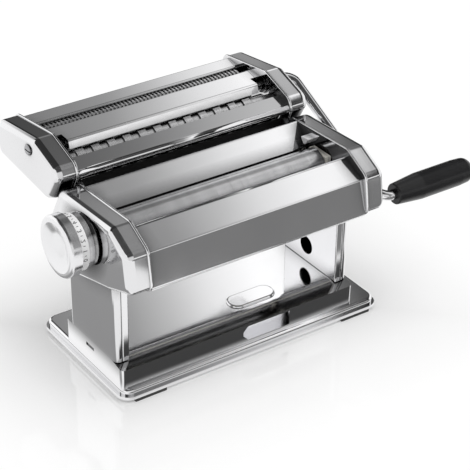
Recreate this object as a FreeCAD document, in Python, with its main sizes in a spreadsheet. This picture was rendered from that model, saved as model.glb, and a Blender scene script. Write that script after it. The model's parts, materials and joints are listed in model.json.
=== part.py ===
import FreeCAD, Part
import math
import os
import Sketcher

doc = FreeCAD.newDocument("pasta_machine")
sheet = doc.addObject("Spreadsheet::Sheet", "dims")
vec = FreeCAD.Vector


class Size:
    """A length that keeps its sheet expression together with its value now."""

    def __init__(self, text, value):
        self.text = text
        self.value = float(value)

    def join(self, sign, other, value):
        return Size("(%s %s %s)" % (self.text, sign, other.text), value)

    def __add__(self, other):
        other = size(other)
        return self.join("+", other, self.value + other.value)

    def __sub__(self, other):
        other = size(other)
        return self.join("-", other, self.value - other.value)

    def __mul__(self, other):
        other = size(other)
        return self.join("*", other, self.value * other.value)

    def __truediv__(self, other):
        other = size(other)
        return self.join("/", other, self.value / other.value)

    def __neg__(self):
        return self * -1

    __radd__ = __add__
    __rmul__ = __mul__

    def __rsub__(self, other):
        return size(other) - self


def size(number):
    if isinstance(number, Size):
        return number
    return Size("(%.9g)" % number, number)


class Dims:
    """The driving dimensions: each call adds one named row to the sheet."""

    def __init__(self):
        self.rows = 0

    def add(self, name, value):
        self.rows += 1
        sheet.set("A%d" % self.rows, name)
        sheet.set("B%d" % self.rows, "%g" % value)
        sheet.setAlias("B%d" % self.rows, name)
        setattr(self, name, Size("dims." + name, value))

    def point(self, name, y, z):
        self.add(name + "_y", y)
        self.add(name + "_z", z)

    def at(self, name):
        return getattr(self, name + "_y"), getattr(self, name + "_z")


d = Dims()

# Body of the machine: half width to the rims, sheet thicknesses, cover shape.
for name, value in (
    ("half_width", 93), ("side_plate", 2), ("cover_depth", 16), ("cover_wall", 1.2),
    ("cover_round", 6), ("cover_corner", 7.5), ("rim_lip", 1), ("rim_round", 0.9),
    ("sheet", 1), ("bend", 1), ("leg_wall", 1.4), ("leg_face", 9.4), ("leg_front", -47), ("leg_rear", 18),
    ("leg_round", 4.5), ("leg_lip", 0.9), ("leg_gap", 0.5), ("leg_hole_y", -10), ("leg_hole_z", 43),
    ("leg_hole_radius", 7.5), ("flange_width", 3.6), ("flange", 2), ("flange_round", 1.1),
):
    d.add(name, value)

# Side outline of the main body, front to back, seen along the width.
d.point("brow", -54.1, 145.7)
d.point("nose", -76.4, 134.1)
d.point("chin", -80.7, 104.7)
d.point("jaw", -50, 93.5)
d.point("heel", -6, 82)
d.point("rump", 22, 92)
d.point("back", 32, 113)
d.point("crown", 16, 142)

# Side outline of the cutter head.
d.point("head_front_top", 18.9, 156.2)
d.point("head_front", 15.6, 147.5)
d.point("head_front_low", 25.6, 129.5)
d.point("head_low", 35, 125)
d.point("head_rear_low", 104, 131)
d.point("head_rear", 107.5, 146)
d.point("head_rear_top", 105.3, 158.7)
d.point("head_peak", 49.8, 166.2)

# Base tray, pedestal and feet.
for name, value in (
    ("base_length", 230), ("base_depth", 119.6), ("base_shift", 10.7), ("base_foot", 2.5),
    ("base_step", 2.4), ("base_top", 9.9), ("base_inset", 2), ("base_corner", 10),
    ("base_wall", 1.5), ("base_edge", 2.4), ("foot_length", 26), ("foot_width", 9),
    ("foot_from_end", 10), ("pedestal_half", 102.4), ("pedestal_front", -54.5),
    ("pedestal_rear", 24), ("pedestal_top", 28.5), ("pedestal_wall", 1.4),
    ("pedestal_round", 3), ("ridge_depth", 12), ("ridge_drop", 2.6), ("ridge_curve", 38),
    ("window_left", 2), ("window_right", 43.5), ("window_low", 12.4), ("window_high", 24.2),
    ("window_slant", 4.1), ("boss_left", 6), ("boss_right", 46), ("boss_front", -37),
    ("boss_rear", -20), ("boss_round", 8), ("boss_height", 1.6), ("boss_edge", 1.4),
    ("slot_front", -16), ("slot_rear", -5), ("slot_low", 21.4), ("slot_high", 24), ("rear_gate", 8),
):
    d.add(name, value)

# Dough rollers, their gears and the thickness adjuster.
for name, value in (
    ("roller_radius", 12.5), ("roller_end_gap", 3.5), ("roller_height", 121.3),
    ("journal_radius", 6), ("running_gap", 0.05), ("knob_axis", -20.4), ("throw", 2.1),
    ("widest_gap", 4.8), ("gear_root", 9.9), ("gear_tip", 15.4), ("tooth_base", 2.2),
    ("tooth_top", 1.2), ("gear_clear", 3.5), ("gear_width", 7), ("bush_radius", 8),
    ("bush_flange", 10), ("flange_depth", 2.4), ("bush_proud", 1.6), ("journal_recess", 0.6),
    ("socket_across", 6.6), ("socket_depth", 14), ("socket_hole", 8), ("ring_radius", 11),
    ("ring_height", 1.5), ("block_half_depth", 10), ("block_half_height", 9),
    ("block_inward", 2.5), ("block_outward", 3), ("block_gap", 0.15), ("yoke_skin", 0.2),
    ("journal_gap", 0.4), ("tail_root", 1), ("shaft_gap", 0.3), ("cam_web", 1),
    ("eccentric_radius", 4.5), ("yoke_gap", 0.6), ("tail_half", 4), ("tail_low", 103),
    ("tail_gap", 0.2), ("bar_height", 4), ("knob_shaft_radius", 3), ("shaft_cover", 5),
    ("bore_room", 0.5), ("knob_bush_radius", 8), ("bush_stub", 4), ("knob_proud", 22.5),
    ("knob_gap", 3), ("collar_width", 4.5), ("collar_radius", 20.2), ("band_width", 6.5),
    ("band_radius", 20.8), ("knob_radius", 22.9), ("knob_neck", 17), ("knob_edge", 2.6),
    ("dish_radius", 18.4), ("dish_flat", 9.8), ("dish_depth", 2.6), ("dish_curve", 16),
    ("dish_edge", 4), ("base_ring_radius", 19.5), ("base_ring_height", 2.5), ("ring_bevel", 1),
    ("pin_orbit", 12), ("pin_radius", 1.2), ("pin_groove", 1.9), ("groove_depth", 1.6),
    ("pin_clear", 0.4), ("pin_root", 1),
):
    d.add(name, value)

# Guards, scrapers and rods between the side plates.
for name, value in (
    ("guide_width", 5), ("rod_radius", 4), ("rod_screw", 2.5), ("rod_proud", 5),
    ("rail_width", 4), ("rail_below", 9), ("rail_above", 9), ("rail_depth", 3),
    ("rail_proud", 1.6), ("hook_start", 2.6), ("hook_end", 6), ("hook_gap", 0.2),
    ("hook_cap", 4.6), ("hook_slack", 0.3), ("hook_below", 5), ("hook_inset", 1), ("hook_root", 1),
    ("comb_top", 14.6), ("comb_lip", 3.4), ("comb_swell_place", 8), ("comb_swell", 4.6),
):
    d.add(name, value)
d.point("front_rod", -63, 112)
d.point("rear_rod", 18, 98)

# Cutter head: two pairs of grooved rolls.
for name, value in (
    ("cut_radius", 8.2), ("cut_groove", 6.9), ("cut_gap", 0.3), ("cut_end_gap", 5),
    ("cut_journal", 5), ("cut_proud", 2), ("wide_front", 29.2), ("wide_height", 144),
    ("narrow_front", 62.6), ("narrow_height", 149.6), ("wide_pitch", 13.1),
    ("narrow_pitch", 3.2), ("side_gap", 0.25), ("cut_gear_root", 6.4), ("cut_gear_tip", 8.7),
    ("cut_tooth_base", 2.2), ("cut_tooth_top", 0.9), ("cut_gear_clear", 3),
    ("cut_gear_width", 6), ("head_rod_radius", 3), ("screw_radius", 4.2), ("screw_head", 1.6),
    ("screw_bevel", 1), ("screw_slot", 1), ("cut_hole", 6.5), ("disc_root", 0.5),
    ("notch_width", 9), ("notch_rear", 56), ("notch_room", 3), ("stripper_gap", 1.4),
    ("stripper_wall", 2), ("stripper_below", 4.6), ("stripper_above", 6.6),
):
    d.add(name, value)
d.point("head_rod_mid", 53.6, 134)
d.point("head_rod_rear", 93, 141)
d.point("head_screw", 55.5, 156)

# Crank with its turning grip.
for name, value in (
    ("crank_reach", 128.9), ("crank_stand", 17), ("crank_angle", 205.6), ("crank_rod", 4),
    ("crank_bend", 11), ("crank_depth", 13), ("hex_proud", 1.5), ("hex_gap", 0.1),
    ("grip_stand", 12.5), ("grip_taper", 23), ("grip_straight", 36.5), ("grip_nose", 14),
    ("grip_neck", 8.2), ("grip_radius", 10.4), ("grip_tip", 9.4), ("grip_tip_round", 7),
    ("grip_edge", 1), ("grip_skin", 7.5), ("crank_room", 1),
):
    d.add(name, value)

# Depth of the part's middle from the middle of the base.
d.add("origin_depth", 13.73)

# Places along the width, worked out from the rims, the plates and the cover faces.
plate_inner = d.half_width - d.side_plate
cover_face = d.half_width + d.cover_depth
leg_inner = d.half_width + d.flange_width
roller_half = plate_inner - d.roller_end_gap
bush_inner = plate_inner - d.flange_depth
bush_outer = d.half_width + d.bush_proud
gear_inner = d.half_width + d.gear_clear
journal_end = cover_face - d.journal_recess
block_inner = plate_inner - d.block_inward
block_outer = d.half_width + d.block_outward
yoke_floor = d.half_width + d.yoke_skin
tail_outer = plate_inner - d.tail_gap
rod_end = d.half_width + d.rod_proud
rail_inner = plate_inner - d.rail_width
cut_half = plate_inner - d.cut_end_gap
cut_left_end = d.half_width + d.cut_proud
cut_gear_inner = d.half_width + d.cut_gear_clear
base_ring_outer = cover_face + d.base_ring_height
knob_back = cover_face + d.knob_gap
knob_face = cover_face + d.knob_proud
shaft_end = knob_face - d.shaft_cover
crank_plane = cover_face + d.crank_stand
crank_tip = cover_face - d.crank_depth
crank_hex_end = cover_face + d.hex_proud
grip_start = crank_plane + d.grip_stand
grip_shoulder = grip_start + d.grip_taper
grip_full = grip_shoulder + d.grip_straight
grip_end = grip_full + d.grip_nose
grip_bore_end = grip_end - d.grip_skin
crank_end = grip_bore_end - d.crank_room

# Places along the depth.
drive_axis = d.knob_axis - d.throw + d.roller_radius * 2 + d.widest_gap
carriage_rest = d.knob_axis - d.throw
cut_spacing = d.cut_radius + d.cut_groove + d.cut_gap
wide_rear = d.wide_front + cut_spacing
narrow_rear = d.narrow_front + cut_spacing

# The part's origin lies on the table below the middle of its box.
origin = {"x": (grip_end - knob_face) / 2, "y": d.origin_depth, "z": 0}
doc.recompute()

nodes = []


def bind(item, prop, value):
    item.setExpression(prop, size(value).text)


def new_body(label, x=0, y=0, z=0, turn=None):
    """A body at a bound place, turned about the width axis."""
    body = doc.addObject("PartDesign::Body", label)
    body.Label = label
    if turn is not None:
        body.Placement = FreeCAD.Placement(vec(), FreeCAD.Rotation(vec(1, 0, 0), size(turn).value))
        bind(body, "Placement.Rotation.Angle", turn)
    for key, value in (("x", x), ("y", y), ("z", z)):
        bind(body, "Placement.Base." + key, size(value) - origin[key])
    nodes.append(body)
    return body


def new_sketch(body, plane="YZ_Plane", away=0):
    """A sketch on one of the body's own planes, moved off it by a bound distance."""
    sketch = body.newObject("Sketcher::SketchObject", body.Label + "_outline")
    base = [item for item in body.Origin.OriginFeatures if item.Role == plane][0]
    sketch.AttachmentSupport = [(base, "")]
    sketch.MapMode = "FlatFace"
    bind(sketch, "AttachmentOffset.Base.z", away)
    return sketch


def fix_point(sketch, geo, end, point):
    for kind, value in (("DistanceX", point[0]), ("DistanceY", point[1])):
        value = size(value)
        row = sketch.addConstraint(Sketcher.Constraint(kind, -1, 1, geo, end, value.value))
        sketch.setExpression("Constraints[%d]" % row, value.text)


def polygon(sketch, points):
    """A closed outline whose corners are all bound."""
    corners = [vec(size(a).value, size(b).value, 0) for a, b in points]
    count = len(corners)
    first = sketch.GeometryCount
    for i in range(count):
        sketch.addGeometry(Part.LineSegment(corners[i], corners[(i + 1) % count]), False)
    for i in range(count):
        after = first + (i + 1) % count
        sketch.addConstraint(Sketcher.Constraint("Coincident", first + i, 2, after, 1))
    for i in range(count):
        fix_point(sketch, first + i, 1, points[i])


def circle(sketch, a, b, radius):
    radius = size(radius)
    centre = vec(size(a).value, size(b).value, 0)
    geo = sketch.addGeometry(Part.Circle(centre, vec(0, 0, 1), radius.value), False)
    fix_point(sketch, geo, 3, (a, b))
    row = sketch.addConstraint(Sketcher.Constraint("Radius", geo, radius.value))
    sketch.setExpression("Constraints[%d]" % row, radius.text)


def rectangle(sketch, low_a, high_a, low_b, high_b):
    polygon(sketch, [(low_a, low_b), (high_a, low_b), (high_a, high_b), (low_a, high_b)])


def hexagon(sketch, a, b, across):
    """A hexagon with two flats facing along the second sketch axis."""
    across = size(across)
    half = across / 2
    corner = across / math.sqrt(3)
    ring = [(corner, 0), (corner / 2, half), (-(corner / 2), half),
            (-corner, 0), (-(corner / 2), -half), (corner / 2, -half)]
    polygon(sketch, [(size(a) + u, size(b) + v) for u, v in ring])


def pad(body, sketch, length):
    feature = body.newObject("PartDesign::Pad", body.Label + "_pad")
    feature.Profile = sketch
    bind(feature, "Length", length)
    doc.recompute()
    return feature


def pocket(body, sketch, length, both=False):
    """A cut whose direction is turned round if the first try removes nothing."""
    before = body.Shape.Volume
    feature = body.newObject("PartDesign::Pocket", body.Label + "_cut")
    feature.Profile = sketch
    bind(feature, "Length", length)
    feature.Midplane = both
    doc.recompute()
    if not feature.isValid() or before - body.Shape.Volume < 1e-6:
        feature.Reversed = True
        doc.recompute()
    return feature


def rounded(body, feature, chosen, radius):
    """Round the edges of a feature for which the test answers yes."""
    names = ["Edge%d" % (i + 1) for i, edge in enumerate(feature.Shape.Edges) if chosen(edge)]
    fillet = body.newObject("PartDesign::Fillet", body.Label + "_round")
    fillet.Base = (feature, names)
    bind(fillet, "Radius", radius)
    doc.recompute()
    return fillet


def hollow(body, feature, open_face, wall):
    """Leave a wall inside the outer faces, open at the faces the test picks."""
    names = ["Face%d" % (i + 1) for i, face in enumerate(feature.Shape.Faces) if open_face(face)]
    shell = body.newObject("PartDesign::Thickness", body.Label + "_hollow")
    shell.Base = (feature, names)
    bind(shell, "Value", wall)
    shell.Reversed = True
    doc.recompute()
    return shell


def along(edge, axis):
    """Whether an edge is a straight one running along the given axis."""
    a, b = edge.Vertexes[0].Point, edge.Vertexes[-1].Point
    run = b - a
    return run.Length > 1e-6 and abs(abs(run.normalize()[axis]) - 1) < 1e-6


def facing(face, axis, place):
    """Whether a face is flat and lies at the given place along an axis."""
    box = face.BoundBox
    low = (box.XMin, box.YMin, box.ZMin)[axis]
    high = (box.XMax, box.YMax, box.ZMax)[axis]
    return high - low < 1e-4 and abs(low - place) < 1e-4


def lying(edge, axis, place):
    """Whether the whole edge lies at the given place along an axis."""
    return facing(edge, axis, place)


def ring(edge, place, radius):
    """Whether an edge is a circle of the given radius, square to the width."""
    return lying(edge, 0, place) and abs(getattr(edge.Curve, "Radius", 0) - radius) < 1e-4


def at_spots(points):
    """A test for the edges along the width that stand at the given points."""
    spots = [(size(y).value, size(z).value) for y, z in points]

    def chosen(edge):
        place = edge.Vertexes[0].Point
        return along(edge, 0) and any(math.hypot(place.y - y, place.z - z) < 1e-3 for y, z in spots)

    return chosen


def edge_rim(body, feature, places, radius):
    """Round the outer edges of the flat faces that lie at the given places."""
    outer = [edge for face in feature.Shape.Faces if any(facing(face, 0, p) for p in places)
             for edge in face.OuterWire.Edges]
    return rounded(body, feature, lambda e: any(e.isSame(o) for o in outer), radius)


def slab(label, start, length, draw, **place):
    """A plate or bar padded along the width from a sketch drawn by the caller."""
    body = new_body(label, **place)
    sketch = new_sketch(body, "YZ_Plane", start)
    draw(sketch)
    pad(body, sketch, length)
    return body


def turned(label, y, z, outline, turn=None):
    """A piece of revolution about an axis along the width; outline is (place, radius)."""
    body = new_body(label, y=y, z=z, turn=turn)
    sketch = new_sketch(body, "XY_Plane")
    polygon(sketch, outline)
    feature = body.newObject("PartDesign::Revolution", label + "_turning")
    feature.Profile = sketch
    feature.ReferenceAxis = (sketch, ["H_Axis"])
    feature.Angle = 360
    doc.recompute()
    return body


def grow(points, amount):
    """The outline moved outward; the corner directions follow the drawn shape."""
    flat = [(size(a).value, size(b).value) for a, b in points]
    count = len(flat)
    area = sum(flat[i][0] * flat[(i + 1) % count][1] - flat[(i + 1) % count][0] * flat[i][1]
               for i in range(count))
    side = 1 if area > 0 else -1
    grown = []
    for i in range(count):
        grown.append(push(points[i], flat[i - 1], flat[i], flat[(i + 1) % count], amount, side))
    return grown


def push(point, before, here, after, amount, side):
    """Move one corner along its mitre so both neighbouring edges move by the amount."""
    normals = []
    for a, b in ((before, here), (here, after)):
        run = (b[0] - a[0], b[1] - a[1])
        length = math.hypot(*run)
        if length > 0:
            normals.append((side * run[1] / length, -side * run[0] / length))
    u = sum(n[0] for n in normals) / len(normals)
    v = sum(n[1] for n in normals) / len(normals)
    square = u * u + v * v
    return size(point[0]) + size(amount) * (u / square), size(point[1]) + size(amount) * (v / square)


def strip(path, thick):
    """A bent sheet as a closed outline: the path and its copy one thickness away."""
    flat = [(size(a).value, size(b).value) for a, b in path]
    last = len(flat) - 1
    copy = []
    for i, point in enumerate(path):
        copy.append(push(point, flat[max(i - 1, 0)], flat[i], flat[min(i + 1, last)], thick, 1))
    return list(path) + copy[::-1]


def gear(label, start, width, root, tip, base, top, bore, y, z, turn):
    """A spur gear of straight teeth with a bore for its journal."""
    body = new_body(label, y=y, z=z, turn=turn)
    disc = new_sketch(body, "YZ_Plane", start)
    circle(disc, 0, 0, root)
    circle(disc, 0, 0, bore)
    pad(body, disc, width)
    tooth = new_sketch(body, "YZ_Plane", start)
    inner = (size(root) + bore) / 2
    polygon(tooth, [(inner, -(base / 2)), (root, -(base / 2)), (tip, -(top / 2)),
                    (tip, top / 2), (root, base / 2), (inner, base / 2)])
    feature = pad(body, tooth, width)
    row = body.newObject("PartDesign::PolarPattern", label + "_teeth")
    row.Originals = [feature]
    axis = [item for item in body.Origin.OriginFeatures if item.Role == "X_Axis"][0]
    row.Axis = (axis, [""])
    row.Angle = 360
    row.Occurrences = teeth
    body.Tip = row
    doc.recompute()
    return body


def hex_socket(body, end, depth):
    """A blind hexagonal hole in the end of a journal."""
    sketch = new_sketch(body, "YZ_Plane", end)
    hexagon(sketch, 0, 0, d.socket_across)
    return pocket(body, sketch, depth)


# Both sides, the teeth of every gear, and the wall thicknesses that a through cut spans.
sides = (("left", -1), ("right", 1))
teeth = 12
through = 4


def span(sign, near, far):
    """Start and length of a pad between two distances out from the middle."""
    near, far = size(near), size(far)
    return (near, far - near) if sign > 0 else (-far, far - near)


main_outline = [d.at(name) for name in
                ("brow", "nose", "chin", "jaw", "heel", "rump", "back", "crown")]
head_outline = [d.at(name) for name in
                ("head_front_top", "head_front", "head_front_low", "head_low",
                 "head_rear_low", "head_rear", "head_rear_top", "head_peak")]


def base_tray():
    body = new_body("base_tray", x=d.base_shift)
    half_x, half_y = d.base_length / 2, d.base_depth / 2
    low = new_sketch(body, "XY_Plane", d.base_foot)
    rectangle(low, -half_x, half_x, -half_y, half_y)
    pad(body, low, d.base_step)
    high = new_sketch(body, "XY_Plane", d.base_foot + d.base_step)
    inset = d.base_inset
    rectangle(high, inset - half_x, half_x - inset, inset - half_y, half_y - inset)
    top = pad(body, high, d.base_top - d.base_foot - d.base_step)
    floor = (d.base_foot + d.base_step).value
    upper = rounded(body, top, lambda e: along(e, 2) and e.BoundBox.ZMin > floor - 1e-4,
                    d.base_corner - d.base_inset)
    upright = rounded(body, upper, lambda e: along(e, 2) and e.BoundBox.ZMax < floor + 1e-4,
                      d.base_corner)
    brim = rounded(body, upright, lambda e: lying(e, 2, d.base_top.value), d.base_edge)
    hollow(body, brim, lambda f: facing(f, 2, d.base_foot.value), d.base_wall)


def feet():
    near = d.base_length / 2 - d.foot_from_end
    for label, sign_x, sign_y in (("foot_front_left", -1, -1), ("foot_front_right", 1, -1),
                                  ("foot_rear_left", -1, 1), ("foot_rear_right", 1, 1)):
        body = new_body(label, x=d.base_shift)
        sketch = new_sketch(body, "XY_Plane")
        outer, inner = near * sign_x, (near - d.foot_length) * sign_x
        edge = (d.base_depth / 2) * sign_y
        deep = (d.base_depth / 2 - d.foot_width) * sign_y
        polygon(sketch, [(outer, edge), (inner, edge), (inner, deep), (outer, deep)])
        pad(body, sketch, d.base_foot)


def pedestal():
    """Hollow plinth: its front ridge rolls down to an apron with the clamp window."""
    body = new_body("pedestal")
    floor = new_sketch(body, "XY_Plane", d.base_top)
    rectangle(floor, -d.pedestal_half, d.pedestal_half, d.pedestal_front, d.pedestal_rear)
    block = pad(body, floor, d.pedestal_top - d.base_top)
    rounded(body, block, lambda e: along(e, 2), d.pedestal_round)
    fall = new_sketch(body, "YZ_Plane")
    ridge = d.pedestal_front + d.ridge_depth
    polygon(fall, [(ridge, d.pedestal_top), (d.pedestal_front, d.pedestal_top - d.ridge_drop),
                   (d.pedestal_front, d.pedestal_top + d.ridge_drop),
                   (ridge, d.pedestal_top + d.ridge_drop)])
    sloped = pocket(body, fall, d.pedestal_half * through, both=True)
    soft = rounded(body, sloped, lambda e: along(e, 0) and abs(e.BoundBox.YMin - ridge.value) < 1e-4
                   and lying(e, 2, d.pedestal_top.value), d.ridge_curve)
    hollow(body, soft, lambda f: facing(f, 2, d.base_top.value), d.pedestal_wall)
    window = new_sketch(body, "XZ_Plane", -d.pedestal_front)
    slant = d.window_slant
    polygon(window, [(d.window_left + slant, d.window_low), (d.window_right, d.window_low),
                     (d.window_right, d.window_high), (d.window_left + slant, d.window_high),
                     (d.window_left, d.window_high - slant), (d.window_left, d.window_low + slant)])
    pocket(body, window, d.pedestal_wall * through, both=True)
    boss = new_sketch(body, "XY_Plane", d.pedestal_top)
    rectangle(boss, d.boss_left, d.boss_right, d.boss_front, d.boss_rear)
    raised = pad(body, boss, d.boss_height)
    floor_level, boss_level = d.pedestal_top.value, (d.pedestal_top + d.boss_height).value
    upright = rounded(body, raised, lambda e: along(e, 2) and e.BoundBox.ZMin > floor_level - 1e-4,
                      d.boss_round)
    rounded(body, upright, lambda e: lying(e, 2, boss_level), d.boss_edge)
    slot = new_sketch(body, "YZ_Plane", -d.pedestal_half)
    rectangle(slot, d.slot_front, d.slot_rear, d.slot_low, d.slot_high)
    pocket(body, slot, d.pedestal_wall * through, both=True)
    gate = new_sketch(body, "XZ_Plane", -d.pedestal_rear)
    rectangle(gate, d.rear_gate - d.pedestal_half, d.pedestal_half - d.rear_gate,
              d.base_top, d.pedestal_top - d.pedestal_wall)
    pocket(body, gate, d.pedestal_wall * through, both=True)


def side_plates():
    grown = dict(zip(("brow", "nose", "chin", "jaw", "heel", "rump", "back", "crown"),
                     grow(main_outline, d.rim_lip)))
    fall = (d.jaw_z - d.heel_z) * (d.leg_front - d.jaw_y) / (d.heel_y - d.jaw_y)
    rise = (d.rump_z - d.heel_z) * (d.leg_rear - d.heel_y) / (d.rump_y - d.heel_y)
    outline = [grown["brow"], grown["nose"], grown["chin"], grown["jaw"],
               (d.leg_front, d.jaw_z - fall - d.rim_lip), (d.leg_front, d.pedestal_top),
               (d.leg_rear, d.pedestal_top), (d.leg_rear, d.heel_z + rise - d.rim_lip),
               grown["rump"], grown["back"], grown["crown"]]
    depth = d.block_half_depth + d.block_gap
    tall = d.block_half_height + d.block_gap

    def draw(sketch):
        polygon(sketch, outline)
        circle(sketch, drive_axis, d.roller_height, d.bush_radius)
        rectangle(sketch, carriage_rest - depth, carriage_rest + depth + d.throw * 2,
                  d.roller_height - tall, d.roller_height + tall)
        circle(sketch, d.front_rod_y, d.front_rod_z, d.rod_screw)
        circle(sketch, d.rear_rod_y, d.rear_rod_z, d.rod_screw)
        circle(sketch, d.leg_hole_y, d.leg_hole_z, d.leg_hole_radius)

    corners = [grown[name] for name in ("brow", "nose", "chin", "jaw", "rump", "back", "crown")]
    flanges = ((d.leg_front, d.leg_front + d.flange, d.jaw_z - fall),
               (d.leg_rear - d.flange, d.leg_rear, d.heel_z + rise))
    for side, sign in sides:
        start, length = span(sign, plate_inner, d.half_width)
        body = slab(side + "_side_plate", start, length, draw)
        rim_rounding(body, corners, sign)
        start, length = span(sign, d.half_width - d.side_plate / 2, leg_inner)
        lips = new_sketch(body, "YZ_Plane", start)
        for low, high, top in flanges:
            rectangle(lips, low, high, d.pedestal_top, top - d.leg_gap * 2 - d.flange)
        lipped = pad(body, lips, length)
        outer, front, rear = sign * leg_inner.value, d.leg_front.value, d.leg_rear.value
        rounded(body, lipped, lambda e: along(e, 2) and lying(e, 0, outer)
                and (lying(e, 1, front) or lying(e, 1, rear)), d.flange_round)


def rim_rounding(body, corners, sign):
    """Round the corners of a side plate like the cover's, then its edge into a bead."""
    smooth = rounded(body, body.Tip, at_spots(corners), d.cover_corner + d.rim_lip)
    edge_rim(body, smooth, (sign * plate_inner.value, sign * d.half_width.value), d.rim_round)


def legs():
    """Channels standing on the pedestal outside the flanges of the side plates."""
    fall = (d.jaw_z - d.heel_z) * (d.leg_front - d.jaw_y) / (d.heel_y - d.jaw_y)
    rise = (d.rump_z - d.heel_z) * (d.leg_rear - d.heel_y) / (d.rump_y - d.heel_y)
    outline = [(d.leg_front, d.pedestal_top), (d.leg_rear, d.pedestal_top),
               (d.leg_rear, d.heel_z + rise - d.leg_gap * 2),
               (d.heel_y, d.heel_z - d.leg_gap * 2),
               (d.leg_front, d.jaw_z - fall - d.leg_gap * 2)]
    low, front, rear = d.pedestal_top.value, d.leg_front.value, d.leg_rear.value
    for side, sign in sides:
        body = new_body(side + "_leg")
        start, length = span(sign, leg_inner, d.half_width + d.leg_face)
        sketch = new_sketch(body, "YZ_Plane", start)
        polygon(sketch, outline)
        block = pad(body, sketch, length)
        inside, outside = sign * leg_inner.value, sign * (d.half_width + d.leg_face).value
        soft = rounded(body, block, lambda e: along(e, 2) and lying(e, 0, outside)
                       and (lying(e, 1, front) or lying(e, 1, rear)), d.leg_round)

        def opened(face):
            if facing(face, 0, inside) or facing(face, 2, low):
                return True
            normal = face.normalAt(0, 0)
            level = abs(normal.z) > max(abs(normal.x), abs(normal.y))
            return level and face.CenterOfMass.z > (low + d.heel_z.value) / 2

        channel = hollow(body, soft, opened, d.leg_wall)
        rounded(body, channel, lambda e: along(e, 2) and lying(e, 0, inside)
                and (lying(e, 1, front) or lying(e, 1, rear)), d.leg_lip)


def cover(label, sign, outline, holes):
    """A deep pressed cover: rounded outer edge, hollow, open towards the side plate."""
    body = new_body(label)
    start, length = span(sign, d.half_width, cover_face)
    sketch = new_sketch(body, "YZ_Plane", start)
    polygon(sketch, outline)
    block = pad(body, sketch, length)
    soft = rounded(body, block, lambda e: along(e, 0), d.cover_corner)
    face = sign * cover_face.value
    domed = rounded(body, soft, lambda e: lying(e, 0, face), d.cover_round)
    rim = sign * d.half_width.value
    hollow(body, domed, lambda f: facing(f, 0, rim), d.cover_wall)
    for y, z, radius in holes:
        cut = new_sketch(body, "YZ_Plane", cover_face * sign)
        circle(cut, y, z, radius)
        pocket(body, cut, d.cover_wall * through, both=True)


def covers():
    cover("left_cover", -1, main_outline, [(d.knob_axis, d.roller_height, d.knob_bush_radius)])
    cover("right_cover", 1, main_outline, [(drive_axis, d.roller_height, d.socket_hole)])
    cover("cutter_left_cover", -1, head_outline, [])
    cover("cutter_right_cover", 1, head_outline,
          [(wide_rear, d.wide_height, d.cut_hole), (d.narrow_front, d.narrow_height, d.cut_hole)])


def sheet_part(label, half, path, thick):
    """A sheet across the width, bent along the path, with rounded bends."""
    outline = strip(path, thick)
    body = slab(label, -half, half * 2, lambda sketch: polygon(sketch, outline))
    inner, outer = [], []
    for i in range(1, len(path) - 1):
        before, here, after = [(size(y).value, size(z).value) for y, z in path[i - 1:i + 2]]
        turn = (here[0] - before[0]) * (after[1] - here[1]) - (here[1] - before[1]) * (after[0] - here[0])
        copy = outline[-1 - i]
        inside, outside = (path[i], copy) if turn * thick.value > 0 else (copy, path[i])
        inner.append(inside)
        outer.append(outside)
    if inner:
        bent = rounded(body, body.Tip, at_spots(outer), d.bend + d.sheet)
        rounded(body, bent, at_spots(inner), d.bend)
    return body


def body_sheets():
    """Front plate, rear hopper plate and the scrapers, all bent sheets across the width."""
    d.point("front_hem", -50.4, 135)
    d.point("front_top", -52.4, 138.4)
    d.point("front_bend", -72.6, 130)
    d.point("front_low", -78.4, 104.8)
    d.point("front_tuck", -73, 101.6)
    sheet_part("front_plate", plate_inner, [d.at(n) for n in (
        "front_tuck", "front_low", "front_bend", "front_top", "front_hem")], -d.sheet)
    d.point("hopper_low", -7, 127.9)
    d.point("hopper_top", 7.6, 143.9)
    d.point("hopper_back", 11, 139.7)
    sheet_part("rear_plate", plate_inner,
               [d.at(n) for n in ("hopper_low", "hopper_top", "hopper_back")], d.sheet)
    d.point("front_scraper_low", -46, 99)
    d.point("front_scraper_tip", -31, 105.5)
    sheet_part("adjust_scraper", plate_inner,
               [d.at(n) for n in ("front_scraper_low", "front_scraper_tip")], d.sheet)
    d.point("rear_scraper_low", 12, 99)
    d.point("rear_scraper_tip", 9.5, 106.5)
    sheet_part("drive_scraper", plate_inner,
               [d.at(n) for n in ("rear_scraper_low", "rear_scraper_tip")], d.sheet)


def hopper_guides():
    """Wedges that close the two ends of the gap above the rollers."""
    d.point("guide_tip_front", -10.2, 132.5)
    d.point("guide_tip_rear", -8.4, 132.5)
    d.point("guide_top_rear", -5.2, 136.8)
    d.point("guide_top_front", -14.6, 138)
    outline = [d.at(n) for n in ("guide_tip_front", "guide_tip_rear", "guide_top_rear",
                                 "guide_top_front")]
    for side, sign in sides:
        start, length = span(sign, plate_inner - d.guide_width, plate_inner)
        slab(side + "_guide", start, length, lambda sketch: polygon(sketch, outline))


def rods():
    """Spacer rods between the side plates, their thin ends through the plates."""
    for label, y, z in (("front_rod", d.front_rod_y, d.front_rod_z),
                        ("rear_rod", d.rear_rod_y, d.rear_rod_z)):
        end, shoulder = rod_end, plate_inner
        turned(label, y, z, [(-end, 0), (end, 0), (end, d.rod_screw), (shoulder, d.rod_screw),
                             (shoulder, d.rod_radius), (-shoulder, d.rod_radius),
                             (-shoulder, d.rod_screw), (-end, d.rod_screw)])


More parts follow.
